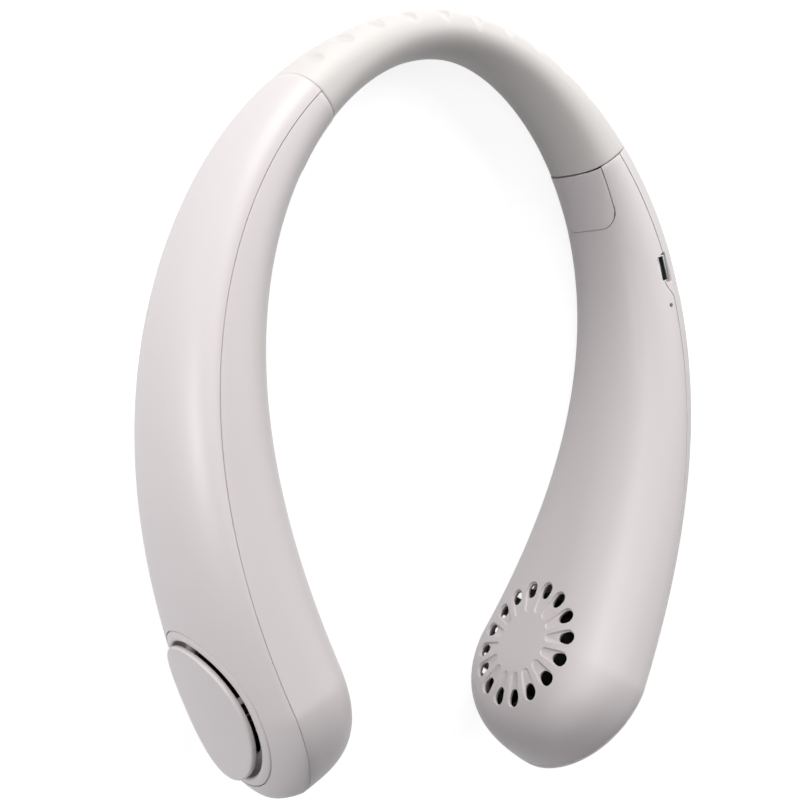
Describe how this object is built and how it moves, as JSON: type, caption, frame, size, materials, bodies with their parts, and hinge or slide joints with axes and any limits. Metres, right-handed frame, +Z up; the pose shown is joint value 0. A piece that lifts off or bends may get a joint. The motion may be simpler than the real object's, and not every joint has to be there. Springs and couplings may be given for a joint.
{
  "type": "electric neck fan",
  "caption": "Electric neck fan: curved hollow arms that end in round fan heads, joined behind the neck by a soft flexible band.",
  "frame": {"origin": "centre of the bounding box at the floor, with the U lying flat on its outlet side", "axes": "+Z up, the side with the charging port; +Y from the fan heads towards the band; +X towards the arm with the port and the button"},
  "size_m": [0.1644, 0.206, 0.0592],
  "materials": {
    "housing": "satin moulded ABS",
    "silicone": "soft matte silicone",
    "dark_plastic": "moulded",
    "steel": "plated",
    "magnet": "bonded ferrite",
    "copper": "enamelled winding",
    "bearing_brass": "sintered",
    "battery_foil": "foil pouch",
    "lead": "PVC insulation",
    "board": "solder mask",
    "lamp": "clear"
  },
  "bodies": {
    "right_arm": {"right_outer_shell": "housing", "right_inner_shell": "housing", "right_intake_dish": "housing", "right_intake_cover": "housing", "right_stator_core": "steel", "right_stator_coils": "copper", "right_motor_base": "dark_plastic", "right_sleeve_bearing": "bearing_brass", "right_motor_screws": "steel", "right_band_anchor": "dark_plastic", "right_anchor_screws": "steel", "right_strap_cover": "housing", "right_battery": "battery_foil", "right_motor_lead": "lead", "right_battery_lead": "lead", "right_divider": "dark_plastic", "band": "silicone", "band_strip": "steel", "band_wires": "lead", "main_board": "board", "board_chips": "dark_plastic", "board_screws": "steel", "port_shell": "steel", "port_tongue": "dark_plastic", "push_switch": "dark_plastic", "status_light": "lamp", "light_window": "lamp"},
    "right_rotor": {"right_impeller": "dark_plastic", "right_rotor_yoke": "steel", "right_rotor_magnet": "magnet", "right_rotor_shaft": "steel"},
    "left_arm": {"left_outer_shell": "housing", "left_inner_shell": "housing", "left_intake_dish": "housing", "left_intake_cover": "housing", "left_stator_core": "steel", "left_stator_coils": "copper", "left_motor_base": "dark_plastic", "left_sleeve_bearing": "bearing_brass", "left_motor_screws": "steel", "left_band_anchor": "dark_plastic", "left_anchor_screws": "steel", "left_strap_cover": "housing", "left_battery": "battery_foil", "left_motor_lead": "lead", "left_battery_lead": "lead", "left_divider": "dark_plastic"},
    "left_rotor": {"left_impeller": "dark_plastic", "left_rotor_yoke": "steel", "left_rotor_magnet": "magnet", "left_rotor_shaft": "steel"},
    "power_button": {"switch_plunger": "dark_plastic", "power_button": "housing"}
  },
  "joints": [
    {"name": "band_flex", "type": "hinge", "parent": "right_arm", "child": "left_arm", "pos_m": [0, 0.0879, 0.0296], "axis": [0, 0, -1], "range_deg": [-8, 30], "stiffness_Nm_per_rad": 0.4, "deforming": ["band", "band_strip", "band_wires"]},
    {"name": "right_fan_spin", "type": "hinge", "parent": "right_arm", "child": "right_rotor", "pos_m": [0.05386, -0.077, 0.0296], "axis": [0.8933, -0.4494, 0], "continuous": true},
    {"name": "left_fan_spin", "type": "hinge", "parent": "left_arm", "child": "left_rotor", "pos_m": [-0.05386, -0.077, 0.0296], "axis": [-0.8933, -0.4494, 0], "continuous": true},
    {"name": "power_button_press", "type": "slide", "parent": "right_arm", "child": "power_button", "axis": [-0.9351, -0.3543, 0], "range_m": [0, 0.0005], "stiffness_N_per_m": 1000, "springref_m": -0.0003}
  ]
}
